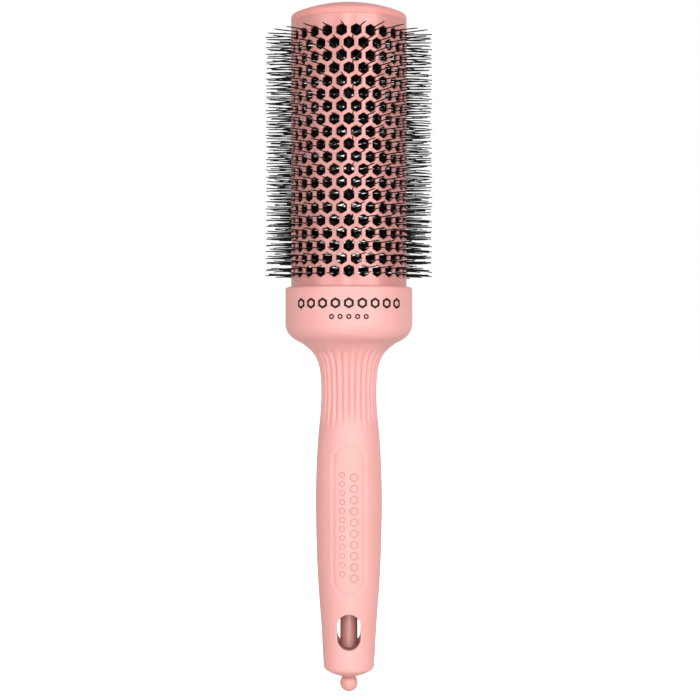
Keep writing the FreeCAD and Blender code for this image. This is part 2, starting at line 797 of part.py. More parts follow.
finish("pin_shank", turn("pin_shank", [
    (NOTHING, size("pin_top")),
    (NOTHING, size("ball_socket_bottom")),
    (size("ball_socket_radius"), size("ball_socket_bottom")),
    (size("ball_socket_radius"), size("ball_neck_height")),
    (size("pin_radius"), size("ball_neck_height")),
    (size("pin_radius"), size("stop_ring_bottom")),
    (size("pin_neck_radius"), size("stop_ring_bottom")),
    (size("pin_neck_radius"), size("stop_ring_top")),
    (size("pin_radius"), size("stop_ring_top")),
    (size("pin_radius"), size("pin_top")),
]))
finish("pin_stop_ring", turn("pin_stop_ring", [
    (size("pin_neck_radius"), size("stop_ring_bottom")),
    (size("stop_ring_radius"), size("stop_ring_bottom")),
    (size("stop_ring_radius"), size("stop_ring_top")),
    (size("pin_neck_radius"), size("stop_ring_top")),
]))
ball_flat_radius = math.sqrt(number("ball_radius") ** 2 - (number("ball_neck_height") - number("ball_centre")) ** 2)
ball_bottom = size("ball_centre") - size("ball_radius")
finish("pin_ball", turn("pin_ball", [
    (size("ball_socket_radius"), size("ball_neck_height")),
    (size("ball_socket_radius"), size("ball_socket_bottom")),
    (NOTHING, size("ball_socket_bottom")),
    (NOTHING, ball_bottom),
    (size("ball_radius"), size("ball_centre")),
    (Dim.of(ball_flat_radius), size("ball_neck_height")),
], arcs={3: (size("ball_radius"), 1), 4: (size("ball_radius"), 1)}))


# ---------------------------------------------------------------- checks and export

doc.recompute()
for thing in doc.Objects:
    for word in thing.State:
        if word in ("Invalid", "Error"):
            raise RuntimeError("%s is %s" % (thing.Name, word))

os.makedirs("parts", exist_ok=True)
for node, thing in nodes.items():
    shape = thing.Shape
    if shape.isNull() or not shape.isValid():
        raise RuntimeError("bad shape: " + node)
    if not shape.Solids:
        raise RuntimeError("no solid: " + node)
    shape.exportStep("parts/%s.step" % node)
    box = shape.BoundBox
    print("%-18s %d solid(s) %10.1f mm3  z %8.2f .. %8.2f  r %6.2f" % (
        node, len(shape.Solids), shape.Volume, box.ZMin, box.ZMax, box.XMax))
print("%d nodes" % len(nodes))
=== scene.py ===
"""Round barrel brush: looks of the vented barrel, its filaments, the soft-touch handle and the sliding pin.

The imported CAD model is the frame. Each sub-assembly below builds the pieces that are seen, in the CAD's own places,
and gives every piece that stays a finish of its own. Sizes in the classes are in millimetres, meshes in metres.
"""

import logging
import math
import random
from dataclasses import dataclass
from enum import Enum
from functools import cache
from typing import Callable, Optional, Sequence

import bmesh
import bpy
import numpy as np
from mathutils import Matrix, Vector


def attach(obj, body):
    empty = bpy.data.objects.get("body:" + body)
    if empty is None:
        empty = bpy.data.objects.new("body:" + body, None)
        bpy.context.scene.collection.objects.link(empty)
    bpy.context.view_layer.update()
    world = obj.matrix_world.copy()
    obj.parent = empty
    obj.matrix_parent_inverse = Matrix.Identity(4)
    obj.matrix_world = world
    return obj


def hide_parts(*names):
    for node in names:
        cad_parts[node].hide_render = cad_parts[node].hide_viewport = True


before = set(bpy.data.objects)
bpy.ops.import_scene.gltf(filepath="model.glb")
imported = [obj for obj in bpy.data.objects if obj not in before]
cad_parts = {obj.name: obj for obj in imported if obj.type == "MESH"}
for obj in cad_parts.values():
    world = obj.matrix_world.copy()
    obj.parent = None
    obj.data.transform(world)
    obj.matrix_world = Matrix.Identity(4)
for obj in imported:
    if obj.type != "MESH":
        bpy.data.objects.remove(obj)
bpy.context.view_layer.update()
MM = 0.001
TURN = 2 * math.pi
FRONT, BACK = 0, 1
LOG = logging.getLogger("brush")

Point = tuple[float, float]
Colour = tuple[float, float, float]
Patch = tuple[int, int, int, int]
Profile = Callable[[float], float]
Mesh = bmesh.types.BMesh
Vert = bmesh.types.BMVert
Socket = bpy.types.NodeSocket


def linear(red: int, green: int, blue: int) -> Colour:
    """Turn display values from 0 to 255 into the linear colour a shader takes.

    Args:
        red: Red, 0 to 255.
        green: Green, 0 to 255.
        blue: Blue, 0 to 255.

    Returns:
        The colour in linear light.
    """
    def channel(value: int) -> float:
        """One channel in linear light."""
        share = value / 255.0
        return share / 12.92 if share <= 0.04045 else ((share + 0.055) / 1.055) ** 2.4
    return channel(red), channel(green), channel(blue)


# ---------------------------------------------------------------- finishes


class Recipe:
    """One material's node tree, with short calls that add and join nodes."""

    def __init__(self, name: str) -> None:
        """Start an empty material with its shader and output.

        Args:
            name: The material's name.
        """
        self.material = bpy.data.materials.new(name)
        self.material.use_nodes = True
        self.nodes = self.material.node_tree.nodes
        self.links = self.material.node_tree.links
        self.nodes.clear()
        self.shader = self.nodes.new("ShaderNodeBsdfPrincipled")
        output = self.nodes.new("ShaderNodeOutputMaterial")
        self.links.new(self.shader.outputs["BSDF"], output.inputs["Surface"])
        self.place = self.nodes.new("ShaderNodeTexCoord").outputs["Object"]

    def set(self, **values: object) -> None:
        """Set constant shader sockets.

        Args:
            values: Socket names in lower case with underscores, and their values.
        """
        for name, value in values.items():
            words = name.replace("_", " ").title().replace("Ior", "IOR")
            self.shader.inputs[words].default_value = value

    def stretched(self, scale: tuple[float, float, float]) -> Socket:
        """Object coordinates scaled differently along each axis.

        Args:
            scale: The three factors.

        Returns:
            The scaled coordinates.
        """
        mapping = self.nodes.new("ShaderNodeMapping")
        mapping.inputs["Scale"].default_value = scale
        self.links.new(self.place, mapping.inputs["Vector"])
        return mapping.outputs["Vector"]

    def noise(self, size_mm: float, detail: float = 2.0, rough: float = 0.5,
              place: Optional[Socket] = None) -> Socket:
        """Noise whose features are about size_mm across.

        Args:
            size_mm: Feature size in millimetres.
            detail: Octaves.
            rough: How strong the finer octaves are.
            place: Coordinates, or the object's own.

        Returns:
            The noise value from 0 to 1.
        """
        node = self.nodes.new("ShaderNodeTexNoise")
        node.inputs["Scale"].default_value = 1.0 / (size_mm * MM)
        node.inputs["Detail"].default_value = detail
        node.inputs["Roughness"].default_value = rough
        self.links.new(place or self.place, node.inputs["Vector"])
        return node.outputs["Fac"]

    def cells(self, size_mm: float) -> Socket:
        """Distance to the nearest of many scattered points, for pits and flakes.

        Args:
            size_mm: Spacing of the points in millimetres.

        Returns:
            The distance value.
        """
        node = self.nodes.new("ShaderNodeTexVoronoi")
        node.inputs["Scale"].default_value = 1.0 / (size_mm * MM)
        self.links.new(self.place, node.inputs["Vector"])
        return node.outputs["Distance"]

    def span(self, value: Socket, low: float, high: float, start: float, stop: float) -> Socket:
        """Map a value from the range low..high to start..stop, clamped.

        Args:
            value: The value.
            low: Where the range begins.
            high: Where it ends.
            start: Result at low.
            stop: Result at high.

        Returns:
            The mapped value.
        """
        node = self.nodes.new("ShaderNodeMapRange")
        for name, number in zip(("From Min", "From Max", "To Min", "To Max"), (low, high, start, stop)):
            node.inputs[name].default_value = number
        self.links.new(value, node.inputs["Value"])
        return node.outputs["Result"]

    def tint(self, value: Socket, first: Colour, second: Colour) -> None:
        """Colour the surface between two colours by a value.

        Args:
            value: The value, 0 to 1.
            first: Colour at 0.
            second: Colour at 1.
        """
        node = self.nodes.new("ShaderNodeMix")
        node.data_type = "RGBA"
        node.inputs["A"].default_value = (*first, 1.0)
        node.inputs["B"].default_value = (*second, 1.0)
        self.links.new(value, node.inputs["Factor"])
        self.links.new(node.outputs["Result"], self.shader.inputs["Base Color"])

    def polish(self, value: Socket, low: float, high: float) -> None:
        """Vary the roughness from low to high by a noise value."""
        self.links.new(self.span(value, 0.3, 0.7, low, high), self.shader.inputs["Roughness"])

    def sum(self, first: Socket, second: Socket, share: float) -> Socket:
        """Add a share of one value to another.

        Args:
            first: The value taken whole.
            second: The value taken in part.
            share: That part.

        Returns:
            The sum.
        """
        node = self.nodes.new("ShaderNodeMath")
        node.operation = "MULTIPLY_ADD"
        self.links.new(second, node.inputs[0])
        node.inputs[1].default_value = share
        self.links.new(first, node.inputs[2])
        return node.outputs[0]

    def relief(self, height: Socket, depth_mm: float, strength: float) -> None:
        """Bump the surface by a height value.

        Args:
            height: The height, 0 to 1.
            depth_mm: The depth that 1 stands for.
            strength: Share of the effect.
        """
        node = self.nodes.new("ShaderNodeBump")
        node.inputs["Strength"].default_value = strength
        node.inputs["Distance"].default_value = depth_mm * MM
        self.links.new(height, node.inputs["Height"])
        self.links.new(node.outputs["Normal"], self.shader.inputs["Normal"])


@dataclass(frozen=True)
class CeramicCoat:
    """Baked ceramic coating on the barrel: satin gloss with a fine sparkle."""

    name: str = "ceramic_coat"
    light: Colour = (0.7, 0.29, 0.262)
    deep: Colour = (0.672, 0.268, 0.24)
    roughness: float = 0.35

    def make(self) -> bpy.types.Material:
        """Build the material.

        Returns:
            The material.
        """
        recipe = Recipe(self.name)
        recipe.tint(recipe.span(recipe.noise(9.0, 3.0), 0.35, 0.65, 0.0, 1.0), self.light, self.deep)
        grain = recipe.noise(0.16, 2.0)
        recipe.polish(grain, self.roughness - 0.05, self.roughness + 0.07)
        recipe.relief(recipe.sum(recipe.noise(0.45, 2.0), grain, 0.35), 0.006, 0.6)
        recipe.set(metallic=0.15, ior=1.5, specular_ior_level=0.7, coat_weight=0.5, coat_roughness=0.2)
        return recipe.material


@dataclass(frozen=True)
class SoftTouch:
    """Soft-touch skin of the handle: matt, with a velvety edge and a very fine grain."""

    name: str = "soft_touch_skin"
    light: Colour = (0.84, 0.395, 0.365)
    deep: Colour = (0.82, 0.375, 0.345)
    roughness: float = 0.46

    def make(self) -> bpy.types.Material:
        """Build the material.

        Returns:
            The material.
        """
        recipe = Recipe(self.name)
        recipe.tint(recipe.span(recipe.noise(14.0, 3.0), 0.35, 0.65, 0.0, 1.0), self.light, self.deep)
        grain = recipe.noise(0.22, 3.0, 0.6)
        recipe.polish(grain, self.roughness - 0.04, self.roughness + 0.08)
        recipe.relief(recipe.sum(grain, recipe.cells(0.4), 0.3), 0.008, 0.5)
        recipe.set(ior=1.47, specular_ior_level=0.8, sheen_weight=0.06, sheen_roughness=0.45,
                   sheen_tint=(1.0, 0.86, 0.83, 1.0))
        return recipe.material


@dataclass(frozen=True)
class Moulded:
    """Moulded plastic or rubber in one colour, with faint flow marks and its own grain."""

    name: str
    light: Colour
    deep: Colour
    roughness: float
    grain_mm: float
    depth_mm: float
    coat: float = 0.0
    gloss: float = 0.5

    def make(self) -> bpy.types.Material:
        """Build the material.

        Returns:
            The material.
        """
        recipe = Recipe(self.name)
        flow = recipe.noise(6.0, 3.0, 0.5, recipe.stretched((1.0, 1.0, 0.35)))
        recipe.tint(recipe.span(flow, 0.35, 0.65, 0.0, 1.0), self.light, self.deep)
        grain = recipe.noise(self.grain_mm, 2.0)
        recipe.polish(grain, self.roughness - 0.05, self.roughness + 0.06)
        recipe.relief(grain, self.depth_mm, 0.6)
        recipe.set(ior=1.48, specular_ior_level=self.gloss, coat_weight=self.coat, coat_roughness=0.2)
        return recipe.material


@dataclass(frozen=True)
class DrawnMetal:
    """Drawn or turned metal with fine marks along its length."""

    name: str
    light: Colour
    deep: Colour
    roughness: float
    along: float = 0.05

    def make(self) -> bpy.types.Material:
        """Build the material.

        Returns:
            The material.
        """
        recipe = Recipe(self.name)
        marks = recipe.noise(0.12, 2.0, 0.5, recipe.stretched((1.0, 1.0, self.along)))
        recipe.tint(marks, self.light, self.deep)
        recipe.polish(marks, self.roughness - 0.08, self.roughness + 0.1)
        recipe.relief(marks, 0.004, 0.5)
        recipe.set(metallic=1.0)
        return recipe.material


@dataclass(frozen=True)
class NylonFilament:
    """Black nylon filament: dark, smooth, with a soft sheen and slightly paler streaks along it."""

    name: str = "nylon_filament"
    light: Colour = (0.014, 0.01, 0.01)
    deep: Colour = (0.005, 0.004, 0.004)
    roughness: float = 0.48

    def make(self) -> bpy.types.Material:
        """Build the material.

        Returns:
            The material.
        """
        recipe = Recipe(self.name)
        streak = recipe.noise(0.5, 2.0)
        recipe.tint(recipe.span(streak, 0.35, 0.7, 0.0, 1.0), self.deep, self.light)
        recipe.polish(streak, self.roughness - 0.05, self.roughness + 0.1)
        recipe.relief(recipe.noise(0.12, 1.0), 0.003, 0.4)
        recipe.set(ior=1.4, specular_ior_level=0.15)
        return recipe.material


@dataclass(frozen=True)
class PrintedInk:
    """Thin dark ink film of the print on the collar."""

    name: str = "printed_ink"
    light: Colour = (0.012, 0.009, 0.009)
    deep: Colour = (0.007, 0.005, 0.005)

    def make(self) -> bpy.types.Material:
        """Build the material.

        Returns:
            The material.
        """
        recipe = Recipe(self.name)
        film = recipe.noise(0.3, 3.0, 0.6)
        recipe.tint(film, self.light, self.deep)
        recipe.polish(film, 0.42, 0.56)
        recipe.relief(film, 0.002, 0.4)
        recipe.set(specular_ior_level=0.25)
        return recipe.material


class Finish(Enum):
    """The finishes of the brush, each made once."""

    COAT = CeramicCoat()
    # Inner wall of the barrel: its dark brown is darkened as painted shade for the shade inside the barrel.
    SHADED_INSIDE = Moulded("barrel_inside_painted_shade", linear(50, 30, 28), linear(32, 20, 19), 0.6, 0.25, 0.006)
    SKIN = SoftTouch()
    CAP = Moulded("satin_cap", (0.78, 0.328, 0.298), (0.755, 0.307, 0.277), 0.4, 0.35, 0.004, 0.1, 0.3)
    # Handle core seen through the windows: its salmon-brown is darkened as painted shade for the shade in the window's
    # recess.
    CORE = Moulded("core_moulding_painted_shade", linear(176, 126, 120), linear(156, 108, 103), 0.5, 0.25, 0.006)
    GUIDE = Moulded("guide_moulding", linear(222, 164, 156), linear(211, 152, 144), 0.3, 0.3, 0.004, 0.3)
    KNOB = Moulded("knob_moulding", linear(224, 166, 156), linear(218, 157, 147), 0.34, 0.35, 0.004, 0.15)
    BUSH = Moulded("bush_moulding", linear(236, 168, 157), linear(226, 156, 145), 0.4, 0.3, 0.004)
    HUB = Moulded("hub_moulding", (0.022, 0.021, 0.022), (0.012, 0.011, 0.012), 0.5, 0.22, 0.01)
    RING = Moulded("heat_silicone", (0.05, 0.046, 0.045), (0.035, 0.032, 0.031), 0.6, 0.2, 0.01)
    RUBBER = Moulded("nitrile_rubber", (0.02, 0.02, 0.021), (0.012, 0.012, 0.013), 0.62, 0.18, 0.01)
    # Twisted core wires: their near-black is painted shade, darkened so the centre of the barrel reads as deep shade.
    WIRE = Moulded("stem_painted_shade", (0.008, 0.008, 0.009), (0.004, 0.004, 0.004), 0.6, 0.12, 0.004)
    FERRULE = DrawnMetal("turned_ferrule", (0.62, 0.61, 0.6), (0.5, 0.49, 0.48), 0.35)
    SCREW = DrawnMetal("screw_zinc", (0.6, 0.6, 0.61), (0.44, 0.44, 0.46), 0.3, 1.0)
    BRASS = DrawnMetal("stop_brass", (0.72, 0.5, 0.22), (0.58, 0.38, 0.15), 0.28, 1.0)
    NYLON = NylonFilament()
    INK = PrintedInk()
    MARK = Moulded("grip_marking", linear(208, 150, 142), linear(200, 142, 134), 0.5, 0.3, 0.004)

    @cache
    def material(self) -> bpy.types.Material:
        """Return this finish's material, building it the first time."""
        return self.value.make()


# ---------------------------------------------------------------- mesh helpers


def finished(name: str, mesh: Mesh, finish: Finish, replaces: str = "", body: str = "brush",
             crease: float = 38.0, inside: Optional[Finish] = None) -> None:
    """Turn a mesh into a piece that rides on a body.

    Args:
        name: The piece's name.
        mesh: The mesh, in metres. It is freed.
        finish: Its material.
        replaces: The CAD node that the piece stands for.
        body: The CAD body it rides on.
        crease: Edges sharper than this many degrees stay sharp.
        inside: A second material, for faces with material index 1.
    """
    bmesh.ops.recalc_face_normals(mesh, faces=mesh.faces)
    data = bpy.data.meshes.new(name)
    mesh.to_mesh(data)
    mesh.free()
    data.materials.append(finish.material())
    if inside:
        data.materials.append(inside.material())
    data.polygons.foreach_set("use_smooth", [True] * len(data.polygons))
    data.set_sharp_from_angle(angle=math.radians(crease))
    piece = bpy.data.objects.new(name, data)
    bpy.context.scene.collection.objects.link(piece)
    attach(piece, body)
    if replaces:
        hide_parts(replaces)
    LOG.info("%s: %d faces", name, len(data.polygons))


def around(reach: float, angle: float, height: float) -> Vector:
    """Point in metres at a radius, an angle from the front in radians and a height."""
    return Vector((reach * math.sin(angle) * MM, -reach * math.cos(angle) * MM, height * MM))


def rounded(corners: Sequence[tuple[float, float, float]], steps: int = 5) -> list[Point]:
    """Round the corners of a closed outline.

    Args:
        corners: Radius, height and corner radius of each corner, in millimetres.
        steps: Points on each rounded corner, less one.

    Returns:
        The outline's points.
    """
    points: list[Point] = []
    for index, (x, z, bend) in enumerate(corners):
        here = Vector((x, z))
        before = Vector(corners[index - 1][:2]) - here
        after = Vector(corners[(index + 1) % len(corners)][:2]) - here
        turn = before.angle(after)
        reach = min(bend / math.tan(turn / 2), 0.49 * before.length, 0.49 * after.length)
        radius = reach * math.tan(turn / 2)
        first = here + before.normalized() * reach
        last = here + after.normalized() * reach
        middle = here + (before.normalized() + after.normalized()).normalized() * (radius / math.sin(turn / 2))
        for step in range(steps + 1):
            way = (first - middle).lerp(last - middle, step / steps)
            points.append(tuple(middle + way.normalized() * radius))
    return points


def bridge(mesh: Mesh, first: Sequence[Vert], second: Sequence[Vert], material: int = 0) -> None:
    """Join two closed loops, or a loop and a single point, with faces.

    Args:
        mesh: The mesh.
        first: One loop.
        second: The other, with as many points, or one.
        material: The new faces' material index.
    """
    count = max(len(first), len(second))
    if count == 1:
        return
    for step in range(count):
        following = (step + 1) % count
        if len(first) == 1:
            corners = [first[0], second[step], second[following]]
        elif len(second) == 1:
            corners = [first[following], first[step], second[0]]
        else:
            corners = [first[step], first[following], second[following], second[step]]
        mesh.faces.new(corners).material_index = material


def stitch(mesh: Mesh, loops: Sequence[Sequence[Vert]], inner: int = 0) -> None:
    """Join loops one after another.

    Args:
        mesh: The mesh.
        loops: The loops, in order.
        inner: How many of the last bands take material index 1.
    """
    for index, (before, after) in enumerate(zip(loops, loops[1:])):
        bridge(mesh, before, after, 1 if index >= len(loops) - 1 - inner else 0)


def lathe(outline: Sequence[Point], segments: int = 96) -> Mesh:
    """Turn a closed outline about the axis.

    Args:
        outline: Radius and height of each point, in millimetres.
        segments: Steps round the axis.

    Returns:
        The mesh, in metres.
    """
    mesh = bmesh.new()
    rings = [[mesh.verts.new(around(radius, TURN * step / segments, height))
              for step in range(segments if radius > 0 else 1)] for radius, height in outline]
    stitch(mesh, rings + rings[:1])
    return mesh


def smooth_line(points: Sequence[Point], steps: int) -> list[Point]:
    """Smooth curve through points, run by the distance between them.

    Args:
        points: The points, in order.
        steps: Samples to return, less one.

    Returns:
        Samples along the curve.
    """
    spots = np.array(points, float)
    run = np.concatenate(([0.0], np.cumsum(np.linalg.norm(np.diff(spots, axis=0), axis=1))))
    count = len(spots)
    gap = np.diff(run)
    system = np.zeros((count, count))
    right = np.zeros((count, 2))
    system[0, 0] = system[-1, -1] = 1.0
    for row in range(1, count - 1):
        system[row, row - 1:row + 2] = gap[row - 1], 2 * (gap[row - 1] + gap[row]), gap[row]
        right[row] = 6 * ((spots[row + 1] - spots[row]) / gap[row] - (spots[row] - spots[row - 1]) / gap[row - 1])
    bend = np.linalg.solve(system, right)
    samples: list[Point] = []
    for place in np.linspace(0.0, run[-1], steps + 1):
        row = min(int(np.searchsorted(run, place, side="right")) - 1, count - 2)
        low, high = place - run[row], run[row + 1] - place
        value = (bend[row] * high ** 3 + bend[row + 1] * low ** 3) / (6 * gap[row])
        value += (spots[row] / gap[row] - bend[row] * gap[row] / 6) * high
        value += (spots[row + 1] / gap[row] - bend[row + 1] * gap[row] / 6) * low
        samples.append((float(value[0]), float(value[1])))
    return samples


# ---------------------------------------------------------------- barrel


@dataclass(frozen=True)
class VentGrid:
    """Where the vents are: staggered rows round the barrel."""

    columns: int = 25
    rows: int = 20
    first: float = 13.5
    pitch: float = 4.79

    def height(self, row: int) -> float:
        """Height of a row's centres."""
        return self.first + row * self.pitch


@dataclass
class Barrel:
    """The vented barrel tube and its domed cap."""

    grid: VentGrid = VentGrid()
    radius: float = 22.5
    wall: float = 0.9
    bottom: float = -3.0
    top: float = 111.0
    lower_ring: float = 8.0
    vent_flats: float = 4.1
    vent_corner: float = 0.3
    vent_edge: float = 0.16
    inner_edge: float = 0.08
    cell_share: float = 0.45
    side_steps: int = 3
    seam: float = 0.12
    cap_apex: float = 118.3
    cap_dome: float = 56.0
    cap_edge: float = 1.4
    cap_skirt: float = 108.7
    cap_skirt_edge: float = 0.3
    cap_wall: float = 1.6
    cap_ceiling: float = 113.4
    cap_segments: int = 192
    dome_steps: int = 24
    edge_steps: int = 10

    def build(self) -> None:
        """Build the tube and the cap."""
        finished("vented_barrel", self.tube(), Finish.COAT, "barrel_shell", inside=Finish.SHADED_INSIDE)
        finished("domed_cap", lathe(self.cap_outline(), self.cap_segments), Finish.CAP, "barrel_cap")

    def centre(self, row: int, column: int) -> Point:
        """Arc length and height of a vent's centre."""
        return (column + 0.5 * (row % 2)) * (TURN * self.radius / self.grid.columns), self.grid.height(row)

    def cell_outline(self) -> list[Point]:
        """Corner-up hexagon of one honeycomb cell, each side in equal steps.

        Returns:
            Arc length and height of each point from the cell's centre.
        """
        half = math.pi * self.radius / self.grid.columns
        high, low = self.grid.pitch * 2 / 3, self.grid.pitch / 3
        corners = [(0.0, high), (half, low), (half, -low), (0.0, -high), (-half, -low), (-half, low)]
        shares = [step / self.side_steps for step in range(self.side_steps)]
        return [(a[0] + (b[0] - a[0]) * share, a[1] + (b[1] - a[1]) * share)
                for a, b in zip(corners, corners[1:] + corners[:1]) for share in shares]

    def vent_outline(self, grow: float) -> list[Point]:
        """Rounded corner-up hexagon of one vent, with one point for each point of the cell's outline.

        Args:
            grow: How far outside the vent's wall the outline runs, in millimetres.

        Returns:
            Arc length and height of each point from the vent's centre.
        """
        points: list[Point] = []
        corner = self.vent_corner + grow
        side = 2 * (self.vent_flats / 2 + grow - corner) / math.sqrt(3)
        for index in range(6):
            towards, along = math.radians(90 - 60 * index), math.radians(30 - 60 * index)
            pointing = Vector((math.cos(towards), math.sin(towards)))
            centre, following = pointing * side, Vector((math.cos(along), math.sin(along))) * side
            outward = Vector((math.cos((towards + along) / 2), math.sin((towards + along) / 2)))
            points.append(tuple(centre + pointing * corner))
            for step in range(self.side_steps - 1):
                points.append(tuple(centre.lerp(following, step / (self.side_steps - 2)) + outward * corner))
        return points

    def vent_levels(self) -> list[tuple[list[Point], float]]:
        """Outlines from a cell's outer edge over the vent's rounded edge and through the wall.

        Returns:
            Outlines round the vent's centre, each with its depth below the surface.
        """
        cell, edge, share = self.cell_outline(), self.vent_edge, self.cell_share
        blend = [(share * a[0] + (1 - share) * b[0], share * a[1] + (1 - share) * b[1])
                 for a, b in zip(cell, self.vent_outline(edge))]
        levels = [(cell, 0.0), (blend, 0.0)]
        for degrees in (0, 30, 60, 90):
            angle = math.radians(degrees)
            levels.append((self.vent_outline(edge * (1 - math.sin(angle))), edge * (1 - math.cos(angle))))
        return levels + [(self.vent_outline(0.0), self.wall - self.inner_edge),
                         (self.vent_outline(self.inner_edge), self.wall), (cell, self.wall)]

    def end_levels(self, upper: bool) -> list[tuple[list[Point], float]]:
        """Outlines from the outermost cells out to the tube's end and back inside it.

        Args:
            upper: Whether it is the top end.

        Returns:
            Outlines of arc length and height, each with its depth below the surface.
        """
        row, way, limit = (self.grid.rows - 1, 1, self.top) if upper else (0, -1, self.bottom)
        cell, steps = self.cell_outline(), self.side_steps
        rim = cell[-steps:] + cell[:steps] if upper else cell[4 * steps:2 * steps:-1]
        chain = [(self.centre(row, column)[0] + x, self.grid.height(row) + z)
                 for column in range(self.grid.columns) for x, z in rim]
        beyond = self.grid.height(row) + way * self.grid.pitch
        rings = [(beyond, 0.0)] if upper else [(beyond, 0.0), (self.lower_ring, 0.0)]
        rings += [(limit - way * self.seam, 0.0), (limit, self.seam), (limit, self.wall - self.seam),
                  (limit - way * self.seam, self.wall), (beyond, self.wall)]
        levels = [([(x, z) for x, _ in chain], depth) for z, depth in rings]
        return [(chain, 0.0)] + levels + [(chain, self.wall)]

    def tube(self) -> Mesh:
        """Honeycomb tube with a rounded edge round every vent and two plain ends.

        Returns:
            The mesh, whose inner faces have material index 1.
        """
        mesh = bmesh.new()
        known: dict[tuple[int, int, int], Vert] = {}

        def loop(outline: Sequence[Point], depth: float) -> list[Vert]:
            """Vertices of an outline at a depth, shared where cells meet."""
            keys = []
            for arc, height in outline:
                angle = (arc / self.radius) % TURN
                keys.append((round(angle * 1e5) % round(TURN * 1e5), round(height * 1e4), round(depth * 1e4)))
                if keys[-1] not in known:
                    known[keys[-1]] = mesh.verts.new(around(self.radius - depth, angle, height))
            return [known[key] for key in keys]

        levels = self.vent_levels()
        for row in range(self.grid.rows):
            for column in range(self.grid.columns):
                across, up = self.centre(row, column)
                stitch(mesh, [loop([(across + x, up + z) for x, z in outline], depth) for outline, depth in levels], 2)
        for upper in (False, True):
            stitch(mesh, [loop(outline, depth) for outline, depth in self.end_levels(upper)], 2)
        return mesh

    def cap_outline(self) -> list[Point]:
        """Outline of the domed cap: dome, rounded edge, seam at the tube's end, and spigot.

        Returns:
            Radius and height of each point.
        """
        centre = self.cap_apex - self.cap_dome
        edge_radius = self.radius - self.cap_edge
        rise = math.sqrt((self.cap_dome - self.cap_edge) ** 2 - edge_radius ** 2)
        lean = math.atan2(rise, edge_radius)
        points: list[Point] = [(0.0, self.cap_apex)]
        for step in range(1, self.dome_steps + 1):
            angle = math.pi / 2 + (lean - math.pi / 2) * step / self.dome_steps
            points.append((self.cap_dome * math.cos(angle), centre + self.cap_dome * math.sin(angle)))
        for step in range(1, self.edge_steps + 1):
            angle = lean * (1 - step / self.edge_steps)
            points.append((edge_radius + self.cap_edge * math.cos(angle),
                           centre + rise + self.cap_edge * math.sin(angle)))
        inside = self.radius - self.wall
        bore = inside - self.cap_wall
        return points + [(self.radius, self.top + self.seam), (self.radius - self.seam, self.top), (inside, self.top),
                         (inside, self.cap_skirt + self.cap_skirt_edge),
                         (inside - self.cap_skirt_edge, self.cap_skirt), (bore, self.cap_skirt),
                         (bore, self.cap_ceiling), (0.0, self.cap_ceiling)]


# ---------------------------------------------------------------- filaments


@dataclass
class Filaments:
    """Two radial filaments for each vent, in rings, folded round the twisted wires."""

    grid: VentGrid = VentGrid()
    thick: float = 0.24
    tip_share: float = 0.8
    root: float = 2.4
    wall: float = 21.0
    reach: float = 32.5
    trim: float = 0.22
    legs: tuple[tuple[float, float], ...] = ((3.2, 1.3), (0.2, -0.9))
    column_lean: tuple[float, float] = (0.9, 0.22)
    own_lean: tuple[float, float] = (0.45, 0.16)
    swing: float = 0.9
    wave: tuple[float, float] = (0.01, 0.05)
    wave_phase: float = 6.28
    wave_rate: float = 1.7
    sides: int = 6
    steps: int = 12
    crease: float = 60.0
    seed: int = 45

    def build(self) -> None:
        """Build one piece for each ring of filaments."""
        chance = random.Random(self.seed)
        habits = [tuple(chance.gauss(0.0, spread) for spread in self.column_lean)
                  for _ in range(2 * self.grid.columns)]
        for row in range(self.grid.rows):
            mesh = bmesh.new()
            for column in range(self.grid.columns):
                place = 2 * column + row % 2
                first, second = [self.leg(chance, habits[place], place, self.grid.height(row) + level, turn)
                                 for turn, level in self.legs]
                self.strand(mesh, first[::-1] + second)
            finished("bristle_filaments_%02d" % (row + 1), mesh, Finish.NYLON, "bristle_ring_%02d" % (row + 1),
                     crease=self.crease)

    def leg(self, chance: random.Random, habit: Sequence[float], place: int, height: float,
            turn: float) -> list[Vector]:
        """Centre line of one leg, from its root to its tip.

        Args:
            chance: Seeded random source.
            habit: The column's lean, sideways in degrees and upwards in millimetres at the tip.
            place: Half-column number round the barrel.
            height: Height where the leg leaves the stem.
            turn: Degrees from the vent's centre.

        Returns:
            Points in millimetres.
        """
        angle = math.radians(180.0 / self.grid.columns * place + turn)
        side = habit[0] + chance.gauss(0.0, self.own_lean[0])
        lift = habit[1] + chance.gauss(0.0, self.own_lean[1])
        reach = self.reach - abs(chance.gauss(0.0, self.trim))
        wave, phase = chance.uniform(*self.wave), chance.uniform(0.0, self.wave_phase)
        points = []
        for step in range(self.steps + 1):
            out = self.root + (reach - self.root) * step / self.steps
            beyond = max(0.0, (out - self.wall) / (self.reach - self.wall))
            swing = angle + math.radians(side) * beyond * beyond * self.swing
            up = height + lift * beyond * beyond + wave * math.sin(phase + out * self.wave_rate)
            points.append(around(out, swing, up) / MM)
        return points

    def strand(self, mesh: Mesh, line: Sequence[Vector]) -> None:
        """Add a closed thin tube along a line.

        Args:
            mesh: The mesh to add to.
            line: Its centre line, in millimetres.
        """
        rings = []
        for index, spot in enumerate(line):
            before, after = line[max(index - 1, 0)], line[min(index + 1, len(line) - 1)]
            way = (after - before).normalized()
            across = way.cross(Vector((0, 0, 1))).normalized()
            over = across.cross(way)
            thick = self.thick * (self.tip_share if index in (0, len(line) - 1) else 1.0)
            angles = [TURN * side / self.sides for side in range(self.sides)]
            rings.append([mesh.verts.new((spot + (across * math.cos(angle) + over * math.sin(angle)) * thick) * MM)
                          for angle in angles])
        stitch(mesh, rings)
        mesh.faces.new(rings[0])
        mesh.faces.new(rings[-1][::-1])


# ---------------------------------------------------------------- handle


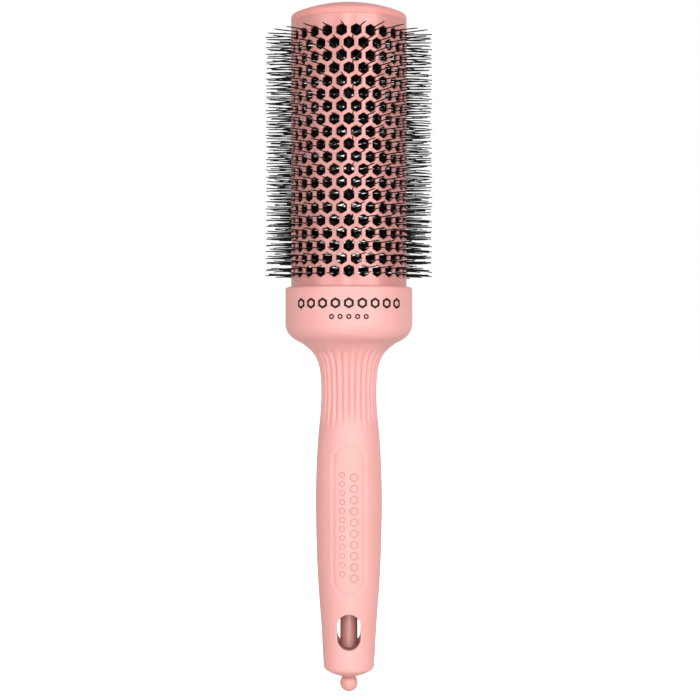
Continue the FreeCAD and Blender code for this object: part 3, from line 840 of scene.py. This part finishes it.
@dataclass(frozen=True)
class Slot:
    """A round-ended upright outline on the handle's front or back."""

    centre: float
    tall: float
    wide: float
    margin: float

    def around(self, x: float, z: float, grow: float = 0.0) -> Point:
        """Find the point of the outline, grown by a margin, that faces another point.

        Args:
            x: The other point's distance across.
            z: Its height.
            grow: How far outside the slot the outline runs.

        Returns:
            Distance across and height.
        """
        straight = self.tall / 2 - self.wide / 2
        middle = self.centre + min(max(z - self.centre, -straight), straight)
        away = Vector((x, z - middle))
        if away.length < 1e-9:
            away = Vector((1.0, 0.0))
        away = away.normalized() * (self.wide / 2 + grow)
        return away.x, middle + away.y

    def patch(self, rows: Sequence[float], segments: int, radius_of: Profile, way: int) -> Patch:
        """Choose the part of the grid that a fitted patch replaces.

        Args:
            rows: Heights of the grid's rows.
            segments: Steps round the axis.
            radius_of: The side's radius at a height.
            way: FRONT or BACK.

        Returns:
            First row, last row, first step and last step.
        """
        first = max(n for n, z in enumerate(rows) if z >= self.centre + self.tall / 2 + self.margin)
        last = min(n for n, z in enumerate(rows) if z <= self.centre - self.tall / 2 - self.margin)
        reach = math.asin((self.wide / 2 + self.margin * 0.8) / radius_of(self.centre))
        half = math.ceil(reach / (TURN / segments))
        middle = 0 if way == FRONT else segments // 2
        return first, last, middle - half, middle + half


@dataclass
class Handle:
    """The soft-touch skin: collar, fluted neck, swelling grip, engraved oval and window."""

    collar_radius: float = 24.7
    collar_top: float = 8.0
    collar_edge: float = 1.0
    band_bottom: float = -6.0
    mouth_radius: float = 22.55
    mouth_edge: float = 0.25
    skin: float = 1.0
    skin_gap: float = 0.02
    side_end: float = -139.0
    end_radius: float = 9.9
    end_round: float = 2.4
    end_dome: float = 16.34
    bush_radius: float = 4.2
    flutes: int = 26
    flute_steps: int = 12
    flute_share: float = 0.47
    flute_sharp: float = 2.1
    flute_deep: float = 0.74
    flute_top: float = -14.6
    flute_bottom: float = -48.5
    flute_start: float = 0.12
    flute_finish: float = 0.3
    oval: Slot = Slot(-81.6, 59.2, 13.6, 1.6)
    oval_line: float = 1.6
    oval_deep: float = 0.17
    window: Slot = Slot(-125.0, 13.8, 9.0, 2.4)
    window_edge: float = 0.5
    side_samples: int = 1200
    row_steps: tuple[Point, ...] = ((-22.0, 0.45), (-50.0, 0.68), (-1000.0, 1.6))
    last_row: float = 0.7
    stations: tuple[Point, ...] = (
        (23.95, -9.2), (22.27, -11.33), (20.63, -12.5), (18.42, -13.67), (15.95, -15.5), (13.84, -17.6),
        (12.13, -20.7), (11.14, -25.4), (10.78, -33.2), (11.02, -40.0), (11.6, -46.0), (12.3, -55.0),
        (12.77, -66.0), (12.94, -76.0), (12.84, -86.0), (12.55, -96.0), (12.05, -106.0), (11.35, -116.0),
        (10.62, -126.0), (10.24, -133.0),
    )

    @property
    def segments(self) -> int:
        """Steps round the axis."""
        return self.flutes * self.flute_steps

    def build(self) -> None:
        """Build the skin."""
        finished("handle_skin", self.surface(), Finish.SKIN, "handle_grip", crease=42.0)

    def heights(self) -> list[float]:
        """Heights of the grid's rows from the band's bottom down, closer where the shape turns fast.

        Returns:
            The heights, in order.
        """
        rows = [self.band_bottom]
        while rows[-1] > self.side_end + self.last_row:
            rows.append(rows[-1] - next(step for above, step in self.row_steps if rows[-1] > above))
        return rows[:-1] + [self.side_end]

    def radius_at(self) -> Profile:
        """Smooth the side from under the collar band to the start of the end's rounding.

        Returns:
            The outer radius as a function of height.
        """
        line = smooth_line([(self.collar_radius, self.band_bottom), (self.collar_radius - 0.01, self.band_bottom - 0.6),
                            *self.stations, (self.end_radius, self.side_end)], self.side_samples)
        heights = np.array([-z for _, z in line])
        radii = np.array([r for r, _ in line])
        return lambda z: float(np.interp(-z, heights, radii))

    def flute_drop(self, angle: float, z: float) -> float:
        """Depth of the flutes at an angle and height.

        Args:
            angle: Angle from the handle's front, in radians.
            z: Height in millimetres.

        Returns:
            How far the surface lies below the plain outline.
        """
        share = (self.flute_top - z) / (self.flute_top - self.flute_bottom)
        if share <= 0 or share >= 1:
            return 0.0
        fade = max(0.0, 1.0 - share / self.flute_start, (share - 1.0 + self.flute_finish) / self.flute_finish)
        fade = fade * fade * (3 - 2 * fade)
        pitch = TURN / self.flutes
        off = abs((angle + pitch / 2) % pitch - pitch / 2) / (pitch * self.flute_share)
        return self.flute_deep * (1 - fade) * max(0.0, 1 - off) ** self.flute_sharp

    def surface(self) -> Mesh:
        """Closed skin: outer side with flutes, oval and windows, inner side, and the rims that join them.

        Returns:
            The mesh.
        """
        mesh = bmesh.new()
        outer_radius = self.radius_at()
        rows = self.heights()
        thick = self.skin - self.skin_gap

        def inner_radius(z: float) -> float:
            """Radius of the skin's inner side, square to the outer side."""
            slope = (outer_radius(z + 0.4) - outer_radius(z - 0.4)) / 0.8 if z < self.band_bottom - 0.5 else 0.0
            return outer_radius(z) - thick * math.sqrt(1 + slope * slope)

        patches = [self.window.patch(rows, self.segments, outer_radius, way) for way in (FRONT, BACK)]
        oval = self.oval.patch(rows, self.segments, outer_radius, FRONT)
        outer, outer_windows = self.sheet(mesh, rows, outer_radius, patches, oval)
        inner, inner_windows = self.sheet(mesh, rows, inner_radius, patches)
        for outer_loop, inner_loop in zip(outer_windows, inner_windows):
            bridge(mesh, outer_loop, inner_loop)
        self.rim(mesh, outer[0], inner[0], self.mouth_outline())
        end_rim = self.end_curve(self.end_radius, 0.0) + self.end_curve(inner_radius(self.side_end), thick)[::-1]
        self.rim(mesh, outer[-1], inner[-1], end_rim)
        return mesh

    def mouth_outline(self, steps: int = 6) -> list[Point]:
        """Outline over the collar's rounded top edge and into its mouth.

        Args:
            steps: Steps on the rounded edge.

        Returns:
            Radius and height of each point.
        """
        points = []
        for step in range(steps + 1):
            angle = math.pi / 2 * step / steps
            points.append((self.collar_radius - self.collar_edge * (1 - math.cos(angle)),
                           self.collar_top - self.collar_edge * (1 - math.sin(angle))))
        under = self.collar_top - self.skin
        return points + [(self.mouth_radius + self.mouth_edge, self.collar_top),
                         (self.mouth_radius, self.collar_top - self.mouth_edge), (self.mouth_radius, under),
                         (self.collar_radius - self.skin + self.skin_gap, under)]

    def end_curve(self, radius: float, depth: float, steps: int = 8) -> list[Point]:
        """Rounded corner and shallow dome of the handle's end, from the side to the bush.

        Args:
            radius: The side's radius where the corner starts.
            depth: How far inside the outer surface the curve runs.
            steps: Steps on the corner and on the dome.

        Returns:
            Radius and height of each point.
        """
        corner, dome = self.end_round - depth, self.end_dome - depth
        reach = radius - corner
        rise = math.sqrt((dome - corner) ** 2 - reach ** 2)
        lean, centre = math.atan2(rise, reach), self.side_end + rise
        last = math.acos(self.bush_radius / dome)
        points = []
        for step in range(1, steps + 1):
            angle = lean * step / steps
            points.append((reach + corner * math.cos(angle), self.side_end - corner * math.sin(angle)))
        for step in range(1, steps + 1):
            angle = lean + (last - lean) * step / steps
            points.append((dome * math.cos(angle), centre - dome * math.sin(angle)))
        return points

    def rim(self, mesh: Mesh, first: Sequence[Vert], last: Sequence[Vert], outline: Sequence[Point]) -> None:
        """Join two open edges through turned rings.

        Args:
            mesh: The mesh to add to.
            first: The outer side's edge.
            last: The inner side's edge.
            outline: Radius and height of each ring between them.
        """
        rings = [[mesh.verts.new(around(radius, TURN * step / self.segments, height))
                  for step in range(self.segments)] for radius, height in outline]
        stitch(mesh, [first, *rings, last])

    def sheet(self, mesh: Mesh, rows: Sequence[float], radius_of: Profile, windows: Sequence[Patch],
              oval: Optional[Patch] = None) -> tuple[list[list[Vert]], list[list[Vert]]]:
        """One side of the skin as a grid with fitted patches for the windows and the oval.

        Args:
            mesh: The mesh to add to.
            rows: Heights of the grid's rows.
            radius_of: The side's radius at a height.
            windows: Grid ranges of the front and back windows.
            oval: Grid range of the oval. Only the outer side has one, and flutes and rounded edges with it.

        Returns:
            The grid, and the windows' two open loops.
        """
        outside = oval is not None
        patches = [*windows, oval] if outside else list(windows)
        grid: list[list[Optional[Vert]]] = []
        for number, z in enumerate(rows):
            line = []
            for step in range(self.segments):
                if any(self.covers(patch, number, step, 1) for patch in patches):
                    line.append(None)
                    continue
                angle = TURN * step / self.segments
                drop = self.flute_drop(angle, z) if outside else 0.0
                line.append(mesh.verts.new(around(radius_of(z) - drop, angle, z)))
            grid.append(line)
        for number in range(len(rows) - 1):
            for step in range(self.segments):
                if not any(self.covers(patch, number, step, 0) for patch in patches):
                    after = (step + 1) % self.segments
                    mesh.faces.new([grid[number][step], grid[number][after],
                                    grid[number + 1][after], grid[number + 1][step]])
        loops = [self.window_loops(mesh, self.border(grid, patch), radius_of, way, outside)
                 for way, patch in zip((FRONT, BACK), windows)]
        if outside:
            self.oval_loops(mesh, self.border(grid, oval), radius_of)
        return grid, loops

    def covers(self, patch: Patch, number: int, step: int, shrink: int) -> bool:
        """Whether a patch takes the place of a face, or of a vertex strictly inside it.

        Args:
            patch: The patch's grid range.
            number: Row number.
            step: Step round the axis.
            shrink: 0 for a face, 1 for a vertex.

        Returns:
            True where the grid has a gap.
        """
        first, last, left, right = patch
        return first + shrink <= number < last and any(left + shrink <= turn < right
                                                       for turn in (step - self.segments, step))

    def border(self, grid: Sequence[Sequence[Optional[Vert]]], patch: Patch) -> list[Vert]:
        """Collect the grid's vertices round a patch.

        Args:
            grid: The grid.
            patch: The patch's grid range.

        Returns:
            The vertices, in order.
        """
        first, last, left, right = patch
        spots = [(first, step) for step in range(left, right)]
        spots += [(number, right) for number in range(first, last)]
        spots += [(last, step) for step in range(right, left, -1)]
        spots += [(number, left) for number in range(last, first, -1)]
        return [grid[number][step % self.segments] for number, step in spots]

    @staticmethod
    def on_side(x: float, z: float, radius_of: Profile, way: int, sink: float = 0.0) -> Vector:
        """Point of the front or back at a distance across and a height.

        Args:
            x: Distance across.
            z: Height.
            radius_of: The side's radius at a height.
            way: FRONT or BACK.
            sink: How far the point lies below the side.

        Returns:
            The point, in metres.
        """
        depth = math.sqrt(max(radius_of(z) ** 2 - x * x, 0.0)) - sink
        return Vector((x, -depth if way == FRONT else depth, z)) * MM

    def patch_loops(self, mesh: Mesh, border: Sequence[Vert], slot: Slot, radius_of: Profile, way: int, reach: float,
                    shares: Sequence[float], steps: Sequence[Point]) -> list[list[Vert]]:
        """Join a patch's border to a slot's outline and on through rings at other sizes and depths.

        Args:
            mesh: The mesh to add to.
            border: The patch's border.
            slot: The slot.
            radius_of: The side's radius at a height.
            way: FRONT or BACK.
            reach: How far outside the slot the first part ends.
            shares: Where rings lie between the border and there.
            steps: Size beyond the slot and depth of each further ring.

        Returns:
            The rings, border first.
        """
        starts = [(v.co.x / MM, v.co.z / MM) for v in border]
        targets = [slot.around(x, z, reach) for x, z in starts]
        rings = [list(border)]
        for share in shares:
            rings.append([mesh.verts.new(self.on_side(x + (tx - x) * share, z + (tz - z) * share, radius_of, way))
                          for (x, z), (tx, tz) in zip(starts, targets)])
        for grow, sink in steps:
            rings.append([mesh.verts.new(self.on_side(*slot.around(x, z, grow), radius_of, way, sink))
                          for x, z in starts])
        stitch(mesh, rings)
        return rings

    def window_loops(self, mesh: Mesh, border: Sequence[Vert], radius_of: Profile, way: int,
                     outside: bool) -> list[Vert]:
        """Fill from a patch's border to the window's wall, with a rounded edge outside.

        Args:
            mesh: The mesh to add to.
            border: The patch's border.
            radius_of: The side's radius at a height.
            way: FRONT or BACK.
            outside: Whether this is the skin's outer side.

        Returns:
            The loop on the window's wall.
        """
        edge = self.window_edge if outside else 0.0
        turns = [math.radians(degrees) for degrees in (range(0, 91, 18) if outside else (0,))]
        steps = [(edge * (1 - math.sin(turn)), edge * (1 - math.cos(turn))) for turn in turns]
        return self.patch_loops(mesh, border, self.window, radius_of, way, edge, (0.3, 0.6, 0.85), steps)[-1]

    def oval_loops(self, mesh: Mesh, border: Sequence[Vert], radius_of: Profile) -> None:
        """Fill a patch with the engraved oval line and the plain field inside it.

        Args:
            mesh: The mesh to add to.
            border: The patch's border.
            radius_of: The side's radius at a height.
        """
        line, deep = self.oval_line, self.oval_deep
        steps = [(0.14, 0.0), (0.0, 0.03), (-0.12, deep * 0.75), (-0.26, deep), (-line + 0.26, deep),
                 (-line + 0.12, deep * 0.75), (-line, 0.03), (-line - 0.14, 0.0), (-line - 0.8, 0.0),
                 (-line - 1.9, 0.0), (-line - 3.2, 0.0), (-line - 4.5, 0.0), (0.35 - self.oval.wide / 2, 0.0)]
        last = self.patch_loops(mesh, border, self.oval, radius_of, FRONT, 0.6, (0.5, 1.0), steps)[-1]
        edges = [mesh.edges.get(pair) for pair in zip(last, last[1:] + last[:1])]
        filled = bmesh.ops.contextual_create(mesh, geom=edges)
        bmesh.ops.triangulate(mesh, faces=filled["faces"])


# ---------------------------------------------------------------- markings


@dataclass(frozen=True)
class HexagonRow:
    """A row of equal corner-up hexagon outlines, centred on a point."""

    across: float
    along: float
    count: int
    pitch: float
    size: float
    line: float
    upright: bool = False

    def centres(self) -> list[Point]:
        """Place the hexagons.

        Returns:
            Distance across and height of each centre.
        """
        steps = [(number - (self.count - 1) / 2) * self.pitch for number in range(self.count)]
        return [(self.across, self.along + step) if self.upright else (self.across + step, self.along)
                for step in steps]

    @staticmethod
    def outline(centre: Point, reach: float, steps: int = 3) -> list[Point]:
        """Outline of one hexagon.

        Args:
            centre: Its centre.
            reach: Distance from the centre to a corner.
            steps: Steps on each side.

        Returns:
            Distance across and height of each point.
        """
        turns = [math.radians(60 * number) for number in range(6)]
        corners = [(centre[0] + reach * math.sin(turn), centre[1] + reach * math.cos(turn)) for turn in turns]
        return [(a[0] + (b[0] - a[0]) * step / steps, a[1] + (b[1] - a[1]) * step / steps)
                for a, b in zip(corners, corners[1:] + corners[:1]) for step in range(steps)]


@dataclass
class Markings:
    """Plain rows of small hexagons: two printed on the collar, two moulded in the grip's oval."""

    handle: Handle
    film: float = 0.05
    sunk: float = 0.03
    collar_rows: tuple[HexagonRow, ...] = (
        HexagonRow(0.0, 1.3, 9, 5.1, 2.15, 1.0),
        HexagonRow(0.0, -3.8, 5, 3.3, 1.1, 0.6),
    )
    grip_rows: tuple[HexagonRow, ...] = (
        HexagonRow(2.0, -84.6, 10, 4.3, 1.85, 0.62, True),
        HexagonRow(-2.6, -83.2, 12, 3.45, 1.3, 0.5, True),
    )

    def build(self) -> None:
        """Build the collar's print and the grip's marks, each as one thin film piece."""
        radius, radius_of = self.handle.collar_radius, self.handle.radius_at()
        self.films("collar_print", self.collar_rows, Finish.INK,
                   lambda arc, z, lift: around(radius + lift, arc / radius, z))
        self.films("grip_marks", self.grip_rows, Finish.MARK,
                   lambda x, z, lift: self.handle.on_side(x, z, radius_of, FRONT, -lift))

    def films(self, name: str, rows: Sequence[HexagonRow], finish: Finish,
              spot: Callable[[float, float, float], Vector]) -> None:
        """Build one piece from rows of hexagons.

        Args:
            name: The piece's name.
            rows: Its rows.
            finish: Its finish.
            spot: Gives the point at a distance across, a height and a lift.
        """
        mesh = bmesh.new()
        lifts = (-self.sunk, self.film, self.film, -self.sunk)
        for row in rows:
            for centre in row.centres():
                outside, inside = row.outline(centre, row.size), row.outline(centre, row.size - row.line)
                loops = [[mesh.verts.new(spot(x, z, lift)) for x, z in outline]
                         for outline, lift in zip((outside, outside, inside, inside), lifts)]
                stitch(mesh, loops + loops[:1])
        finished(name, mesh, finish)


# ---------------------------------------------------------------- pin and small parts


@dataclass
class Pin:
    """The sectioning pin's knob and the bush it slides in."""

    ball_centre: float = -146.0
    ball_radius: float = 3.5
    ball_neck: float = -143.5
    socket_radius: float = 1.5
    socket_bottom: float = -147.2
    bush_radius: float = 4.2
    bush_bore: float = 2.45
    bush_top: float = -134.3
    bush_edge: float = -142.97
    end: float = -143.3

    def build(self) -> None:
        """Build the knob and the bush."""
        finished("pin_knob", lathe(self.knob_outline()), Finish.KNOB, "pin_ball", "pin")
        outline = rounded([(self.bush_bore, self.end, 0.35), (self.bush_radius, self.bush_edge, 0.05),
                           (self.bush_radius, self.bush_top, 0.1), (self.bush_bore, self.bush_top, 0.1)])
        finished("end_bush", lathe(outline), Finish.BUSH, "tail_bush")

    def knob_outline(self, steps: int = 32) -> list[Point]:
        """Outline of the ball with its socket for the shank.

        Args:
            steps: Steps on the ball.

        Returns:
            Radius and height of each point.
        """
        start, stop = -math.pi / 2, math.asin((self.ball_neck - self.ball_centre) / self.ball_radius)
        points = [(0.0, self.ball_centre - self.ball_radius)]
        for step in range(1, steps + 1):
            angle = start + (stop - start) * step / steps
            points.append((self.ball_radius * math.cos(angle), self.ball_centre + self.ball_radius * math.sin(angle)))
        return points + [(self.socket_radius, self.ball_neck), (self.socket_radius, self.socket_bottom),
                         (0.0, self.socket_bottom)]


@dataclass(frozen=True)
class Dressing:
    """Finishes of the CAD nodes that stay as they are."""

    nodes: tuple[tuple[str, Finish], ...] = (
        ("front_hub", Finish.HUB), ("rear_hub", Finish.HUB), ("core_wire_1", Finish.WIRE),
        ("core_wire_2", Finish.WIRE), ("wire_ferrule", Finish.FERRULE), ("stem_sleeve", Finish.FERRULE),
        ("heat_break_ring", Finish.RING), ("hub_screws", Finish.SCREW), ("handle_core", Finish.CORE),
        ("pin_guide_tube", Finish.GUIDE), ("pin_bumper", Finish.RUBBER), ("detent_ring", Finish.RUBBER),
        ("pin_shank", Finish.KNOB), ("pin_stop_ring", Finish.BRASS),
    )

    def build(self) -> None:
        """Give each kept node its material."""
        for name, finish in self.nodes:
            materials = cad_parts[name].data.materials
            materials.clear()
            materials.append(finish.material())
            LOG.info("%s dressed as %s", name, finish.value.name)


# ---------------------------------------------------------------- studio


@dataclass(frozen=True)
class Softbox:
    """One rectangular soft light, in metres and watts."""

    name: str
    place: tuple[float, float, float]
    wide: float
    tall: float
    power: float
    shine: bool = True
    aim: tuple[float, float, float] = (0.0, 0.0, 0.0)

    def build(self) -> None:
        """Stand the light in its place, facing its aim and out of the camera's sight."""
        data = bpy.data.lights.new(self.name, "AREA")
        data.shape = "RECTANGLE"
        data.size, data.size_y, data.energy = self.wide, self.tall, self.power
        lamp = bpy.data.objects.new(self.name, data)
        lamp.location = self.place
        lamp.rotation_euler = (Vector(self.aim) - Vector(self.place)).to_track_quat("-Z", "Y").to_euler()
        lamp.visible_camera, lamp.visible_glossy = False, self.shine
        bpy.context.scene.collection.objects.link(lamp)


@dataclass
class Studio:
    """Pale floor, soft lights and the camera."""

    distance: float = 675.0
    height: float = -16.4
    aside: float = 0.43
    half_view: float = 136.5
    sensor: float = 36.0
    floor: float = -215.0
    floor_half: float = 20.0
    world: float = 0.56
    lights: tuple[Softbox, ...] = (
        Softbox("front_box", (-0.07, -1.35, 0.0), 0.34, 1.5, 6.3, aim=(0.0, 0.0, -0.02)),
        Softbox("key_box", (0.8, -1.05, 0.1), 1.0, 1.3, 10.5),
        Softbox("left_box", (-0.95, -1.0, 0.0), 0.8, 1.3, 5.5),
        Softbox("low_box", (0.0, -0.9, -0.9), 1.2, 0.8, 4.5, shine=False),
        Softbox("back_box", (0.3, 1.3, 0.0), 1.4, 1.4, 12.0, shine=False),
    )

    def build(self) -> None:
        """Set up the camera, the surroundings, the lights and the floor."""
        scene = bpy.context.scene
        scene.view_settings.view_transform = "Standard"
        lens = bpy.data.cameras.new("camera")
        lens.sensor_width = self.sensor
        lens.lens = self.sensor / 2 * self.distance / self.half_view
        lens.clip_start, lens.clip_end = 0.01, 50.0
        camera = bpy.data.objects.new("camera", lens)
        camera.location = Vector((self.aside, -self.distance, self.height)) * MM
        camera.rotation_euler = (math.pi / 2, 0.0, 0.0)
        scene.collection.objects.link(camera)
        scene.camera = camera
        self.surround(scene)
        for light in self.lights:
            light.build()
        self.ground()

    def surround(self, scene: bpy.types.Scene) -> None:
        """Put up white surroundings that light the brush less than they show.

        Args:
            scene: The scene.
        """
        scene.world = bpy.data.worlds.new("studio")
        scene.world.use_nodes = True
        nodes, links = scene.world.node_tree.nodes, scene.world.node_tree.links
        nodes.clear()
        mix = nodes.new("ShaderNodeMixShader")
        for socket, strength in ((1, self.world), (2, 1.0)):
            light = nodes.new("ShaderNodeBackground")
            light.inputs["Strength"].default_value = strength
            light.inputs["Color"].default_value = (1.0, 1.0, 1.0, 1.0)
            links.new(light.outputs[0], mix.inputs[socket])
        links.new(nodes.new("ShaderNodeLightPath").outputs["Is Camera Ray"], mix.inputs[0])
        links.new(mix.outputs[0], nodes.new("ShaderNodeOutputWorld").inputs["Surface"])

    def ground(self) -> None:
        """Lay the pale floor well below the pin's travel."""
        mesh = bmesh.new()
        bmesh.ops.create_grid(mesh, x_segments=4, y_segments=4, size=self.floor_half)
        data = bpy.data.meshes.new("floor")
        mesh.to_mesh(data)
        mesh.free()
        floor = bpy.data.objects.new("floor", data)
        floor.location = (0.0, 0.0, self.floor * MM)
        recipe = Recipe("floor_paper")
        recipe.tint(recipe.noise(40.0, 3.0), (0.93, 0.93, 0.93), (0.9, 0.9, 0.9))
        recipe.set(roughness=0.9, emission_color=(1.0, 1.0, 1.0, 1.0), emission_strength=0.9)
        data.materials.append(recipe.material)
        floor.visible_diffuse = floor.visible_glossy = False
        bpy.context.scene.collection.objects.link(floor)


def main() -> None:
    """Build the studio and every sub-assembly in order."""
    logging.basicConfig(level=logging.INFO, format="%(message)s")
    handle = Handle()
    for assembly in (Studio(), Barrel(), Filaments(), handle, Markings(handle), Pin(), Dressing()):
        assembly.build()
        LOG.info("%s built", type(assembly).__name__)


if __name__ == "__main__":
    main()
